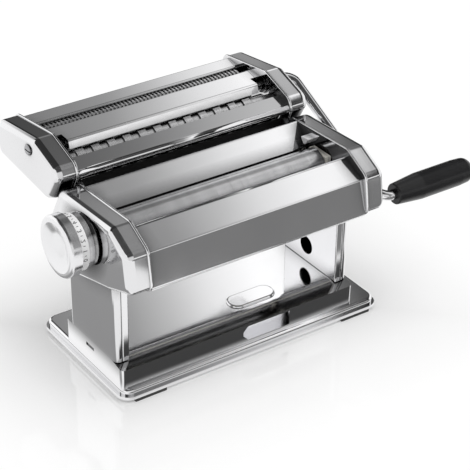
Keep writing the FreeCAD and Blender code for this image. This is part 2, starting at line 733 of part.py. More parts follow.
def drive_line():
    """Fixed bushes, the driven roller with its socket, and its gear."""
    bore = d.journal_radius + d.running_gap
    for side, sign in sides:
        inner, shoulder, outer = bush_inner * sign, plate_inner * sign, bush_outer * sign
        turned(side + "_bush", drive_axis, d.roller_height,
               [(inner, bore), (outer, bore), (outer, d.bush_radius), (shoulder, d.bush_radius),
                (shoulder, d.bush_flange), (inner, d.bush_flange)])
    end, half, journal = journal_end, roller_half, d.journal_radius
    left = -bush_outer
    roller = turned("drive_roller", drive_axis, d.roller_height,
                    [(left, 0), (end, 0), (end, journal), (half, journal),
                     (half, d.roller_radius), (-half, d.roller_radius), (-half, journal),
                     (left, journal)])
    hex_socket(roller, end, d.socket_depth)
    gear("drive_gear", gear_inner, d.gear_width, d.gear_root, d.gear_tip, d.tooth_base,
         d.tooth_top, d.journal_radius, drive_axis, d.roller_height, 0)
    turned("drive_socket_ring", drive_axis, d.roller_height,
           [(cover_face, d.socket_hole), (cover_face + d.ring_height, d.socket_hole),
            (cover_face + d.ring_height, d.ring_radius - d.ring_height / 2),
            (cover_face, d.ring_radius)])


def adjust_line():
    """Sliding bearing blocks, the roller they carry, and the eccentric that moves them."""
    bore = d.journal_radius + d.running_gap
    for side, sign in sides:
        body = new_body(side + "_block", y=carriage_rest, z=d.roller_height)
        start, length = span(sign, block_inner, block_outer)
        outline = new_sketch(body, "YZ_Plane", start)
        rectangle(outline, -d.block_half_depth, d.block_half_depth,
                  -d.block_half_height, d.block_half_height)
        circle(outline, 0, 0, bore)
        pad(body, outline, length)
        start, length = span(sign, block_inner, tail_outer)
        tail = new_sketch(body, "YZ_Plane", start)
        rectangle(tail, -d.tail_half, d.tail_half, d.tail_low - d.roller_height,
                  -(d.block_half_height - d.tail_root))
        pad(body, tail, length)
        if sign < 0:
            yoke = new_sketch(body, "YZ_Plane", -block_outer)
            wide = d.eccentric_radius + d.yoke_gap
            tall = d.eccentric_radius + d.throw + d.yoke_gap
            rectangle(yoke, -wide, wide, -tall, tall)
            pocket(body, yoke, block_outer - yoke_floor)
    slab("carriage_bar", -block_inner, block_inner * 2, lambda sketch: rectangle(
        sketch, -d.tail_half, d.tail_half, 0, d.bar_height), y=carriage_rest, z=d.tail_low)
    half, journal = roller_half, d.journal_radius
    left, right = -(yoke_floor - d.journal_gap), gear_inner + d.gear_width
    turned("adjust_roller", carriage_rest, d.roller_height,
           [(left, 0), (right, 0), (right, journal), (half, journal), (half, d.roller_radius),
            (-half, d.roller_radius), (-half, journal), (left, journal)])
    gear("adjust_gear", gear_inner, d.gear_width, d.gear_root, d.gear_tip, d.tooth_base,
         d.tooth_top, d.journal_radius, carriage_rest, d.roller_height, 180 / teeth)


def knob_line():
    """Eccentric shaft, base ring, the pull-and-turn knob and its number band."""
    start = block_outer + d.shaft_gap
    shaft = turned("knob_shaft", d.knob_axis, d.roller_height,
                   [(-start, 0), (-start, d.knob_shaft_radius),
                    (-shaft_end, d.knob_shaft_radius), (-shaft_end, 0)])
    cam = new_sketch(shaft, "YZ_Plane", -(start + d.cam_web))
    circle(cam, -d.throw, 0, d.eccentric_radius)
    pad(shaft, cam, block_outer - yoke_floor + d.cam_web)
    hole = d.knob_shaft_radius + d.running_gap
    ring_low, ring_high = d.pin_orbit - d.pin_groove, d.pin_orbit + d.pin_groove
    outer, deep = base_ring_outer, base_ring_outer - d.groove_depth
    turned("knob_base_ring", d.knob_axis, d.roller_height,
           [(-(cover_face - d.bush_stub), hole), (-outer, hole), (-outer, ring_low),
            (-deep, ring_low), (-deep, ring_high), (-outer, ring_high),
            (-outer, d.base_ring_radius - d.ring_bevel), (-cover_face, d.base_ring_radius),
            (-cover_face, d.knob_bush_radius), (-(cover_face - d.bush_stub), d.knob_bush_radius)])
    collar, cap = knob_back + d.collar_width, knob_back + d.collar_width + d.band_width
    floor, bore_end = knob_face - d.dish_depth, shaft_end + d.bore_room
    knob = turned("thickness_knob", d.knob_axis, d.roller_height,
                  [(-knob_back, hole), (-bore_end, hole), (-bore_end, 0), (-floor, 0),
                   (-floor, d.dish_flat), (-knob_face, d.dish_radius), (-knob_face, d.knob_radius),
                   (-cap, d.knob_radius), (-cap, d.knob_neck), (-collar, d.knob_neck),
                   (-collar, d.collar_radius), (-knob_back, d.collar_radius)])
    place = -knob_face.value
    edge = rounded(knob, knob.Tip, lambda e: ring(e, place, d.knob_radius.value), d.knob_edge)
    lip = rounded(knob, edge, lambda e: ring(e, place, d.dish_radius.value), d.dish_edge)
    rounded(knob, lip, lambda e: ring(e, -floor.value, d.dish_flat.value), d.dish_curve)
    tip = base_ring_outer - d.groove_depth + d.pin_clear
    pin = new_sketch(knob, "YZ_Plane", -(knob_back + d.pin_root))
    circle(pin, 0, d.pin_orbit, d.pin_radius)
    pad(knob, pin, knob_back + d.pin_root - tip)
    turned("number_band", d.knob_axis, d.roller_height,
           [(-collar, d.knob_neck), (-cap, d.knob_neck),
            (-cap, d.band_radius), (-collar, d.band_radius)])


def slide_point(along_rail, outward):
    """A point given along and across the joint line between body and cutter head."""
    run = (d.crown_y.value - d.back_y.value, d.crown_z.value - d.back_z.value)
    length = math.hypot(*run)
    u = (run[0] / length, run[1] / length)
    middle = ((d.crown_y + d.back_y) / 2, (d.crown_z + d.back_z) / 2)
    along_rail, outward = size(along_rail), size(outward)
    return (middle[0] + along_rail * u[0] + outward * u[1],
            middle[1] + along_rail * u[1] - outward * u[0])


def cutter_slide():
    """Rails on the body, the cutter head's hooks over them, and the comb between the hooks."""
    rail = [slide_point(-d.rail_below, -d.rail_depth), slide_point(d.rail_above, -d.rail_depth),
            slide_point(d.rail_above, d.rail_proud), slide_point(-d.rail_below, d.rail_proud)]
    low = d.rail_above + d.hook_gap
    below, inset, root = -d.hook_below, d.hook_inset - d.rail_depth, d.hook_start + d.hook_root
    finger = [slide_point(below, d.hook_start), slide_point(below, d.hook_end),
              slide_point(low + d.hook_cap, d.hook_end), slide_point(low + d.hook_cap, d.hook_start)]
    cap = [slide_point(low, inset), slide_point(low, root),
           slide_point(low + d.hook_cap, root), slide_point(low + d.hook_cap, inset)]
    comb = [slide_point(d.comb_top, d.hook_start), slide_point(d.comb_top, d.comb_lip),
            slide_point(d.comb_swell_place, d.comb_swell), slide_point(below, d.hook_end),
            slide_point(below, d.hook_start)]
    for side, sign in sides:
        start, length = span(sign, rail_inner, plate_inner)
        slab(side + "_rail", start, length, lambda sketch: polygon(sketch, rail))
        body = slab(side + "_hook", start, length, lambda sketch: polygon(sketch, finger))
        start, length = span(sign, rail_inner, plate_inner - d.hook_slack)
        over = new_sketch(body, "YZ_Plane", start)
        polygon(over, cap)
        pad(body, over, length)
    slab("wide_comb", -rail_inner, rail_inner * 2, lambda sketch: polygon(sketch, comb))


def cutter_frame():
    """Side plates, sheets, narrow comb, rods and cover screw of the cutter head."""
    hole = d.cut_journal + d.running_gap

    def draw(sketch):
        polygon(sketch, grow(head_outline, d.rim_lip))
        for y, z in ((d.wide_front, d.wide_height), (wide_rear, d.wide_height),
                     (d.narrow_front, d.narrow_height), (narrow_rear, d.narrow_height)):
            circle(sketch, y, z, hole)
        for name in ("head_rod_mid", "head_rod_rear"):
            circle(sketch, d.at(name)[0], d.at(name)[1], d.rod_screw)

    corners = grow(head_outline, d.rim_lip)
    for side, sign in sides:
        start, length = span(sign, plate_inner, d.half_width)
        body = slab("cutter_%s_plate" % side, start, length, draw)
        rim_rounding(body, corners, sign)
    d.point("tail_hem", 84.4, 155.4)
    d.point("tail_lip", 84.8, 157.6)
    d.point("tail_top", 99, 158.6)
    d.point("tail_edge", 103, 154)
    d.point("tail_foot", 103.4, 140)
    sheet_part("cutter_rear_plate", plate_inner, [d.at(n) for n in (
        "tail_hem", "tail_lip", "tail_top", "tail_edge", "tail_foot")], d.sheet)
    d.point("bridge_lip", 44.2, 153.2)
    d.point("bridge_front", 46.3, 160)
    d.point("bridge_rear", 69.3, 160.6)
    d.point("bridge_hem", 70, 156.6)
    bridge = sheet_part("cutter_mid_plate", plate_inner, [d.at(n) for n in (
        "bridge_lip", "bridge_front", "bridge_rear", "bridge_hem")], d.sheet)
    notch = new_sketch(bridge, "XY_Plane", d.bridge_lip_z - d.sheet)
    for side, sign in sides:
        near, far = (plate_inner - d.notch_width) * sign, (plate_inner + d.sheet) * sign
        rectangle(notch, near, far, d.bridge_lip_y - d.notch_room, d.notch_rear)
    pocket(bridge, notch, d.bridge_rear_z - d.bridge_lip_z + d.notch_room)
    d.point("ledge_rear", 31.2, 154.2)
    d.point("ledge_top", 20.8, 151.2)
    d.point("ledge_brow", 17.8, 150.6)
    d.point("ledge_front", 16.3, 148.2)
    d.point("ledge_low", 17.4, 145.4)
    d.point("ledge_foot", 20, 143.6)
    sheet_part("cutter_front_rail", plate_inner, [d.at(n) for n in (
        "ledge_foot", "ledge_low", "ledge_front", "ledge_brow", "ledge_top", "ledge_rear")],
        d.sheet)
    near = narrow_rear + d.cut_radius + d.stripper_gap
    slab("narrow_comb", -plate_inner, plate_inner * 2, lambda sketch: rectangle(
        sketch, near, near + d.stripper_wall, d.narrow_height - d.stripper_below,
        d.narrow_height + d.stripper_above))
    for name in ("head_rod_mid", "head_rod_rear"):
        end, shoulder = rod_end, plate_inner
        turned(name.replace("head", "cutter"), d.at(name)[0], d.at(name)[1],
               [(-end, 0), (end, 0), (end, d.rod_screw), (shoulder, d.rod_screw),
                (shoulder, d.head_rod_radius), (-shoulder, d.head_rod_radius),
                (-shoulder, d.rod_screw), (-end, d.rod_screw)])
    screw = turned("cutter_cover_screw", d.head_screw_y, d.head_screw_z,
                   [(-cover_face, 0), (-(cover_face + d.screw_head), 0),
                    (-(cover_face + d.screw_head), d.screw_radius - d.screw_bevel),
                    (-(cover_face + d.screw_head / 2), d.screw_radius),
                    (-cover_face, d.screw_radius)])
    slot = new_sketch(screw, "YZ_Plane", -(cover_face + d.screw_head))
    rectangle(slot, -d.screw_radius, d.screw_radius, -(d.screw_slot / 2), d.screw_slot / 2)
    pocket(screw, slot, d.screw_head / 2)


def cutter_roll(label, y, z, pitch, shift, driven, turn):
    """A grooved roll: discs and grooves of half a pitch, less the side gap."""
    half, journal = cut_half, d.cut_journal
    left, right = -cut_left_end, journal_end
    if not driven:
        right = cut_gear_inner + d.cut_gear_width
    body = turned(label, y, z, [(left, 0), (right, 0), (right, journal), (half, journal),
                                (half, d.cut_groove), (-half, d.cut_groove), (-half, journal),
                                (left, journal)], turn)
    count = int(cut_half.value * 2 / size(pitch).value - 0.5)
    room = cut_half * 2 - size(pitch) * count
    first = room / 2 - cut_half + size(pitch) * shift
    sketch = new_sketch(body, "XY_Plane")
    rectangle(sketch, first, first + pitch / 2 - d.side_gap, d.cut_groove - d.disc_root, d.cut_radius)
    disc = body.newObject("PartDesign::Revolution", label + "_disc")
    disc.Profile = sketch
    disc.ReferenceAxis = (sketch, ["H_Axis"])
    disc.Angle = 360
    doc.recompute()
    row = body.newObject("PartDesign::LinearPattern", label + "_discs")
    row.Originals = [disc]
    axis = [item for item in body.Origin.OriginFeatures if item.Role == "X_Axis"][0]
    row.Direction = (axis, [""])
    bind(row, "Length", size(pitch) * (count - 1))
    row.Occurrences = count
    body.Tip = row
    doc.recompute()
    if driven:
        hex_socket(body, right, d.socket_depth)
    return body


def cutter_rolls():
    """Each pair: one driven roll with a socket, one that its gear turns the other way."""
    half_tooth = 180 / teeth
    for label, y, z, pitch, shift, turn, socket_turn in (
            ("wide_idle", d.wide_front, d.wide_height, d.wide_pitch, 0.5, half_tooth, 0),
            ("wide_drive", wide_rear, d.wide_height, d.wide_pitch, 0, 0, 0),
            ("narrow_drive", d.narrow_front, d.narrow_height, d.narrow_pitch, 0, 0, d.crank_angle),
            ("narrow_idle", narrow_rear, d.narrow_height, d.narrow_pitch, 0.5, half_tooth, 0)):
        cutter_roll(label + "_roll", y, z, pitch, shift, label.endswith("drive"), socket_turn)
        gear(label + "_gear", cut_gear_inner, d.cut_gear_width, d.cut_gear_root,
             d.cut_gear_tip, d.cut_tooth_base, d.cut_tooth_top, d.cut_journal, y, z, turn)


def crank():
    """Bent rod with a hexagonal end in the cutter's socket, and its turning grip."""
    place = {"y": d.narrow_front, "z": d.narrow_height, "turn": d.crank_angle}
    body = new_body("crank_rod", **place)
    path = new_sketch(body, "XY_Plane")
    plane, reach, bend = crank_plane, d.crank_reach, d.crank_bend
    corners = [(crank_hex_end, 0), (plane - bend, 0), (plane, bend), (plane, reach - bend),
               (plane + bend, reach), (crank_end, reach)]
    flat = [vec(size(a).value, size(b).value, 0) for a, b in corners]
    slant = math.sqrt(0.5) * bend.value
    first_mid = vec((plane - bend).value + slant, bend.value - slant, 0)
    last_mid = vec((plane + bend).value - slant, (reach - bend).value + slant, 0)
    for item in (Part.LineSegment(flat[0], flat[1]), Part.Arc(flat[1], first_mid, flat[2]),
                 Part.LineSegment(flat[2], flat[3]), Part.Arc(flat[3], last_mid, flat[4]),
                 Part.LineSegment(flat[4], flat[5])):
        path.addGeometry(item, False)
    for geo, end, point in ((0, 1, corners[0]), (0, 2, corners[1]), (2, 1, corners[2]),
                            (2, 2, corners[3]), (4, 1, corners[4]), (4, 2, corners[5])):
        fix_point(path, geo, end, point)
    fix_point(path, 1, 3, (plane - bend, bend))
    fix_point(path, 3, 3, (plane + bend, reach - bend))
    for geo in (1, 3):
        row = path.addConstraint(Sketcher.Constraint("Radius", geo, bend.value))
        path.setExpression("Constraints[%d]" % row, bend.text)
    round_bar = new_sketch(body, "YZ_Plane", crank_hex_end)
    circle(round_bar, 0, 0, d.crank_rod)
    doc.recompute()
    pipe = body.newObject("PartDesign::AdditivePipe", "crank_rod_bar")
    pipe.Profile = round_bar
    pipe.Spine = (path, ["Edge%d" % (i + 1) for i in range(5)])
    doc.recompute()
    key = new_sketch(body, "YZ_Plane", crank_tip)
    hexagon(key, 0, 0, d.socket_across - d.hex_gap * 2)
    pad(body, key, crank_hex_end - crank_tip)
    grip = new_body("crank_grip", **place)
    sketch = new_sketch(grip, "XY_Plane")
    bore = d.crank_rod + d.running_gap
    outline = [(grip_start, bore), (grip_bore_end, bore), (grip_bore_end, 0),
               (grip_end, 0), (grip_end, d.grip_tip), (grip_full, d.grip_radius),
               (grip_shoulder, d.grip_radius), (grip_start, d.grip_neck)]
    polygon(sketch, [(x, size(r) + reach) for x, r in outline])
    line = sketch.addGeometry(Part.LineSegment(vec(grip_start.value, reach.value, 0),
                                               vec(grip_end.value, reach.value, 0)), True)
    fix_point(sketch, line, 1, (grip_start, reach))
    fix_point(sketch, line, 2, (grip_end, reach))
    spin = grip.newObject("PartDesign::Revolution", "crank_grip_turning")
    spin.Profile = sketch
    spin.ReferenceAxis = (sketch, ["Axis0"])
    spin.Angle = 360
    doc.recompute()
    feature = spin
    for place, radius, curve in ((grip_end, d.grip_tip, d.grip_tip_round),
                                 (grip_start, d.grip_neck, d.grip_edge)):
        feature = rounded(grip, feature, lambda e: ring(e, place.value, radius.value), curve)


def main():
    for step in (base_tray, feet, pedestal, side_plates, legs, covers, body_sheets, hopper_guides,
                 rods, drive_line, adjust_line, knob_line, cutter_slide, cutter_frame,
                 cutter_rolls, crank):
        step()
    doc.recompute()
    bad = [item.Label for item in doc.Objects if {"Invalid", "Error"} & set(item.State)]
    bad += [body.Label for body in nodes
            if body.Shape.isNull() or not body.Shape.isValid() or len(body.Shape.Solids) != 1]
    if bad:
        raise RuntimeError("bad features: " + ", ".join(bad))
    os.makedirs("parts", exist_ok=True)
    for body in nodes:
        body.Shape.exportStep("parts/%s.step" % body.Label)


main()
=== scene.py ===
# %% [markdown]
# A table pasta machine in polished steel: dough rollers, a thickness knob, a
# lift-off cutter head and a crank. The solids come packed from the CAD model
# and stay exactly where they are; this lesson gives them their finishes, adds
# the printed numbers and the rolled beads, and lights them like a catalogue
# picture.

# %% Load the frame
import bpy
import bmesh
import json
import math
from mathutils import Matrix, Vector


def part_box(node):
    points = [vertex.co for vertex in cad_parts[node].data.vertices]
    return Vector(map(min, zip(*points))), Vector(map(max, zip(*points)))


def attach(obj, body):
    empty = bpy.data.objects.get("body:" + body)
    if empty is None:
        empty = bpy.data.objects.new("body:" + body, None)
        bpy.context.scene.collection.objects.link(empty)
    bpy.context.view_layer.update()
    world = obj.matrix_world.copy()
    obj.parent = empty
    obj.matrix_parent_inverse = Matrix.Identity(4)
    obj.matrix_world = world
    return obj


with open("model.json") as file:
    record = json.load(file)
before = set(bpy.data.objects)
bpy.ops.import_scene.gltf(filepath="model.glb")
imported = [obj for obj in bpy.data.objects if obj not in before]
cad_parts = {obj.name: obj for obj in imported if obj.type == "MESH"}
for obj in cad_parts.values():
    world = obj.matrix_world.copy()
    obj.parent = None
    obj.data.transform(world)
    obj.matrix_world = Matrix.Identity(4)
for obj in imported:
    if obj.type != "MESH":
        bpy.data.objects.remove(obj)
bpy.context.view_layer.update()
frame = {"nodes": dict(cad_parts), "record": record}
MM = 0.001


def middle(node, axis):
    low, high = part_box(node)
    return (low[axis] + high[axis]) / 2


HOME = Vector((middle("front_plate", 0), middle("base_tray", 1), 0))
print("nodes loaded:", len(frame["nodes"]), "- middle of the machine at", HOME)

# %% [markdown]
# Shader maths reads better as sums than as a web of nodes. `Wire` wraps one
# socket, so `smudge * 0.1 + 0.05` adds its own Math nodes. The reflected forms
# let a plain number stand first, as in `1.0 - mask`.

# %% Sums of sockets
class Wire:
    def __init__(self, graph, socket):
        self.graph = graph
        self.socket = socket

    def sum(self, operation, first, second):
        return self.graph.node("ShaderNodeMath", {"operation": operation}, {0: first, 1: second})

    def __add__(self, other):
        return self.sum("ADD", self, other)

    def __sub__(self, other):
        return self.sum("SUBTRACT", self, other)

    def __rsub__(self, other):
        return self.sum("SUBTRACT", other, self)

    def __mul__(self, other):
        return self.sum("MULTIPLY", self, other)

    def __pow__(self, other):
        return self.sum("POWER", self, other)

    def most(self, other):
        return self.sum("MAXIMUM", self, other)

    __radd__ = __add__
    __rmul__ = __mul__


print("sums of sockets ready")

# %% [markdown]
# `Graph` is one node tree: every node comes from its `node` method, which sets
# the node's options first and then its inputs, by value or by link. Nodes could
# be dragged together in the editor, but a written graph can be used again with
# other numbers. `Finish` is the graph of one material, with the patterns that
# the finishes share.

# %% Node trees
class Graph:
    def __init__(self, tree):
        self.tree = tree
        self.tree.nodes.clear()

    def feed(self, node, key, value):
        if isinstance(value, Wire):
            self.tree.links.new(value.socket, node.inputs[key])
        else:
            node.inputs[key].default_value = value

    def node(self, kind, options=None, inputs=None, output=0):
        made = self.tree.nodes.new(kind)
        for key, value in (options or {}).items():
            if key == "stops":
                ramp = made.color_ramp.elements
                while len(ramp) < len(value):
                    ramp.new(0.5)
                for element, (place, colour) in zip(ramp, value):
                    element.position = place
                    element.color = (*colour, 1.0)
            else:
                setattr(made, key, value)
        for key, value in (inputs or {}).items():
            self.feed(made, key, value)
        return Wire(self, made.outputs[output])

    def ray(self, kind):
        """1 for rays of one kind: Camera, Glossy or Transmission."""
        return self.node("ShaderNodeLightPath", output=f"Is {kind} Ray")

    def end(self, kind, surface):
        self.feed(self.tree.nodes.new(kind), "Surface", surface)


print("node trees ready")

# %% One finish
class Finish(Graph):
    def __init__(self, name):
        self.material = bpy.data.materials.new(name)
        self.material.use_nodes = True
        super().__init__(self.material.node_tree)
        self.output = self.tree.nodes.new("ShaderNodeOutputMaterial")
        self.shader = self.tree.nodes.new("ShaderNodeBsdfPrincipled")
        self.tree.links.new(self.shader.outputs[0], self.output.inputs[0])

    def set(self, **inputs):
        for key, value in inputs.items():
            self.feed(self.shader, key.replace("_", " "), value)

    def place(self, stretch=(1, 1, 1)):
        spot = self.node("ShaderNodeTexCoord", output="Object")
        return self.node("ShaderNodeMapping", None, {"Vector": spot, "Scale": stretch})

    def axes(self):
        """The three object coordinates, each as a wire."""
        spot = self.node("ShaderNodeTexCoord", output="Object")
        split = self.node("ShaderNodeSeparateXYZ", None, {0: spot})
        return [Wire(self, socket) for socket in split.socket.node.outputs]

    def noise(self, scale, detail=3.0, stretch=(1, 1, 1)):
        where = self.place(stretch)
        return self.node("ShaderNodeTexNoise", None,
                         {"Vector": where, "Scale": scale, "Detail": detail})

    def ramp(self, value, stops):
        return self.node("ShaderNodeValToRGB", {"stops": stops}, {0: value})

    def mix(self, factor, first, second):
        return self.node("ShaderNodeMix", {"data_type": "RGBA"}, {0: factor, 6: first, 7: second}, 2)

    def openness(self, reach):
        """Near 1 on an open surface, near 0 deep in a gap: the mask for the painted shade in the gaps."""
        return self.node("ShaderNodeAmbientOcclusion", {"samples": 6}, {"Distance": reach}, "AO")

    def bump(self, height, strength, distance):
        normal = self.node("ShaderNodeBump", None,
                           {"Height": height, "Strength": strength, "Distance": distance})
        self.set(Normal=normal)


print("finishes can be mixed")

# %% [markdown]
# Polished pressed steel. On the real machine it is a mirror that waves a
# little where the sheet was drawn, with faint polishing lines and a few hand
# smudges. A picture of scratches would show its seams, so noise does it all: a
# slow one bends the reflections, a fast one with a long stretch gives the
# lines, and the smudges only touch the roughness. In the gaps the colour is
# darkened towards black, a painted shade where the light can't reach: the
# Ambient Occlusion node finds those gaps.

# %% Polished steel
GAP_REACH = 14 * MM
# Painted shade: the near black colour the steel takes deep in a gap, where the light doesn't reach.
GAP_SHADE_COLOUR = (0.012, 0.012, 0.012, 1.0)
SMUDGE_SCALE, CLOUD_SCALE, HAIR_SCALE = 34.0, 9.0, 900.0
CLOUD_DIM = 0.93


def polished_steel(name, tint, rough, wave, lines, stretch, shade_power=2.0):
    """A mirror: `wave` bends it, `lines` run along `stretch`, and the last number sets how deep the
    painted shade in the gaps is; a low one keeps them bright.
    """
    finish = Finish(name)
    smudge = finish.noise(SMUDGE_SCALE, 4.0)
    cloud = finish.noise(CLOUD_SCALE, 2.0)
    hair = finish.noise(HAIR_SCALE, 2.0, stretch)
    dark = tuple(c * CLOUD_DIM for c in tint)
    clean = finish.ramp(cloud, [(0.35, dark), (0.65, tint)])
    # Painted shade: the colour falls towards near black where ambient occlusion finds a gap.
    colour = finish.mix(finish.openness(GAP_REACH) ** shade_power, GAP_SHADE_COLOUR, clean)
    finish.set(Base_Color=colour, Metallic=1.0)
    finish.set(Roughness=(smudge ** 3.0) * 0.16 + hair * 0.02 + rough)
    finish.bump(cloud * wave + hair * lines, 0.25, 0.0006)
    return finish.material


mirror_steel = polished_steel("mirror_steel", (0.86, 0.86, 0.87), rough=0.035, wave=0.35,
                              lines=0.02, stretch=(0.04, 1, 1))
cover_steel = polished_steel("cover_steel", (0.82, 0.82, 0.83), rough=0.045, wave=0.45,
                             lines=0.03, stretch=(1, 0.05, 0.05))
satin_steel = polished_steel("satin_steel", (0.66, 0.66, 0.67), rough=0.22, wave=0.10,
                             lines=0.25, stretch=(1, 0.03, 1))
oiled_steel = polished_steel("oiled_steel", (0.42, 0.42, 0.43), rough=0.28, wave=0.05,
                             lines=0.30, stretch=(1, 1, 0.2))
knob_steel = polished_steel("knob_steel", (0.86, 0.86, 0.87), rough=0.17, wave=0.10,
                            lines=0.02, stretch=(1, 1, 1), shade_power=0.8)
plate_steel = polished_steel("plate_steel", (0.88, 0.88, 0.89), rough=0.05, wave=0.30,
                             lines=0.02, stretch=(1, 0.04, 1), shade_power=0.35)
base_steel = polished_steel("base_steel", (0.92, 0.92, 0.93), rough=0.04, wave=0.35,
                            lines=0.02, stretch=(0.04, 1, 1), shade_power=0.25)
bead_steel = polished_steel("bead_steel", (0.90, 0.90, 0.91), rough=0.05, wave=0.10,
                            lines=0.02, stretch=(0.04, 1, 1), shade_power=0.1)
print("steel finishes:", [steel.name for steel in (mirror_steel, cover_steel, satin_steel, oiled_steel,
                                                   knob_steel, plate_steel, base_steel, bead_steel)])

# %% [markdown]
# The rollers are turned metal: the tool leaves very fine rings round the axis,
# so the pattern depends on the place along the width and hardly on anything
# else. Rings cut into the mesh would take millions of faces, so a bump does it.
# Between two rollers, and between the teeth, the metal is darkened with painted shade.

# %% Turned metal
RING_SCALE, BAND_SCALE, STAIN_SCALE = 2600.0, 160.0, 60.0
STAIN_DIM = 0.82


def turned_metal(name, tint, rough, shade_power):
    finish = Finish(name)
    rings = finish.noise(RING_SCALE, 2.0, (1, 0.002, 0.002))
    bands = finish.noise(BAND_SCALE, 2.0, (1, 0.01, 0.01))
    stain = finish.noise(STAIN_SCALE, 4.0)
    dull = tuple(c * STAIN_DIM for c in tint)
    clean = finish.ramp(bands * 0.6 + stain * 0.4, [(0.3, dull), (0.7, tint)])
    # Painted shade: the turned metal darkens where ambient occlusion finds a gap, between rollers and
    # between teeth.
    finish.set(Base_Color=finish.mix(finish.openness(GAP_REACH) ** shade_power, GAP_SHADE_COLOUR, clean))
    finish.set(Metallic=1.0, Roughness=rings * 0.10 + stain * 0.08 + rough)
    finish.bump(rings, 0.12, 0.0003)
    return finish.material


roller_metal = turned_metal("roller_metal", (0.68, 0.68, 0.69), 0.10, 1.2)
cutter_metal = turned_metal("cutter_metal", (0.86, 0.86, 0.87), 0.16, 0.7)
print("turned finishes:", roller_metal.name, cutter_metal.name)

# %% [markdown]
# Plastics and rubber. The grip is black moulded plastic with a fine spark
# grain and a soft shine, and the combs between the cutter rolls are black and
# dull: black plastic that also stands in for the deep shade under the cutter
# head. The number band is pale and slightly glossy, the bearings and guides are
# paler than the steel around them, and the feet are rubber that gathers dust.
# All take their grain from a noise that feeds a bump.

# %% Plastics
WEAR_SCALE = 45.0


def moulded(name, low, high, rough, grain, height, shine=0.5):
    """From `low` where it is clean to `high` where it is worn, with grain of a scale and height."""
    finish = Finish(name)
    speck = finish.noise(grain, 3.0)
    wear = finish.noise(WEAR_SCALE, 3.0)
    finish.set(Base_Color=finish.ramp(wear, [(0.3, low), (0.7, high)]), Specular_IOR_Level=shine)
    finish.set(Roughness=speck * 0.12 + wear * 0.10 + rough)
    finish.bump(speck, 0.2, height)
    return finish.material


grip_black = moulded("grip_black", (0.004, 0.004, 0.005), (0.009, 0.009, 0.010), 0.20, 1500.0, 0.00002)
# The combs are black plastic, and their near black also stands in for the deep shade under the cutter
# head.
comb_black = moulded("comb_black", (0.003, 0.003, 0.003), (0.006, 0.006, 0.006), 0.66, 1500.0, 0.0001, 0.2)
foot_rubber = moulded("foot_rubber", (0.018, 0.018, 0.018), (0.045, 0.044, 0.043), 0.62, 900.0, 0.0002)
band_white = moulded("band_white", (0.78, 0.78, 0.79), (0.86, 0.86, 0.86), 0.28, 1200.0, 0.00004)
bearing_cream = moulded("bearing_cream", (0.66, 0.64, 0.58), (0.76, 0.74, 0.69), 0.40, 1100.0, 0.0001)
guide_grey = moulded("guide_grey", (0.60, 0.60, 0.61), (0.72, 0.72, 0.73), 0.30, 1100.0, 0.0001)
print_black = moulded("print_black", (0.015, 0.015, 0.018), (0.04, 0.04, 0.045), 0.45, 1400.0, 0.00002)
print("plastics ready")

# %% [markdown]
# Each CAD node keeps its shape and gets its finish by name: it is the finish
# of its material slot in the record, unless the ending of its name asks for a
# finish of its own. Two tables keep those choices in one place.

# %% Dress the nodes
by_slot = {
    "chromed_steel": mirror_steel, "satin_steel": satin_steel, "plain_steel": oiled_steel,
    "roller_metal": roller_metal, "grip_plastic": grip_black, "comb_plastic": comb_black,
    "foot_rubber": foot_rubber, "band_plastic": band_white, "bearing_plastic": bearing_cream,
    "guide_plastic": guide_grey, "scraper_plastic": bearing_cream,
}
by_ending = {
    "_cover": cover_steel, "_leg": cover_steel, "_roll": cutter_metal, "_side_plate": plate_steel,
    "cutter_left_plate": plate_steel, "cutter_right_plate": plate_steel, "thickness_knob": knob_steel,
    "base_tray": base_steel, "pedestal": base_steel, "cutter_cover_screw": oiled_steel,
    "cutter_front_rail": bead_steel,
}
slot_of = {row["node"]: row["material_slot"] for row in frame["record"]["subparts"]}
for name, node in frame["nodes"].items():
    special = [steel for ending, steel in by_ending.items() if name.endswith(ending)]
    node.data.materials.clear()
    node.data.materials.append(special[0] if special else by_slot[slot_of[name]])
print("dressed", len(frame["nodes"]), "nodes")

# %% [markdown]
# New pieces start as a bmesh and end as an object at the origin. One helper
# closes the mesh, shades it, gives it a finish and sets it riding on its body,
# so that no piece misses a step.

# %% Piece helper
def finish_piece(name, mesh, material, body, smooth=True):
    bmesh.ops.remove_doubles(mesh, verts=mesh.verts, dist=1e-6)
    bmesh.ops.recalc_face_normals(mesh, faces=mesh.faces)
    data = bpy.data.meshes.new(name)
    mesh.to_mesh(data)
    mesh.free()
    for face in data.polygons:
        face.use_smooth = smooth
    piece = bpy.data.objects.new(name, data)
    bpy.context.collection.objects.link(piece)
    data.materials.append(material)
    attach(piece, body)
    return piece


print("piece helper ready")

# %% [markdown]
# The knob carries a pale band with the thickness numbers. A picture wrapped
# round it would blur close up, so the print is thin solid text. Text is made a
# mesh first, then every digit is laid flat on the band, one click apart, with
# short strokes half way between them.

# %% Places on the band
band_low, band_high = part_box("number_band")
BAND_RADIUS = (band_high[2] - band_low[2]) / 2
BAND_MIDDLE = middle("number_band", 0)
KNOB_AXIS = Vector((0, middle("number_band", 1), middle("number_band", 2)))
CLICK = 20.0
FIRST_DIGIT = 100.0
DIGITS = range(10)
PRINT_HEIGHT = 0.06 * MM


def band_place(angle):
    """Turns the flat print about the knob axis and lifts it onto the band."""
    turn = Matrix.Rotation(math.radians(angle), 4, "X")
    lay = Matrix(((0, -1, 0, BAND_MIDDLE), (-1, 0, 0, 0), (0, 0, 1, BAND_RADIUS), (0, 0, 0, 1)))
    return Matrix.Translation(KNOB_AXIS) @ turn @ lay


print("numbers go on a band of radius", round(BAND_RADIUS / MM, 1), "mm")

# %% Digits
DIGIT_SIZE = 4.8 * MM


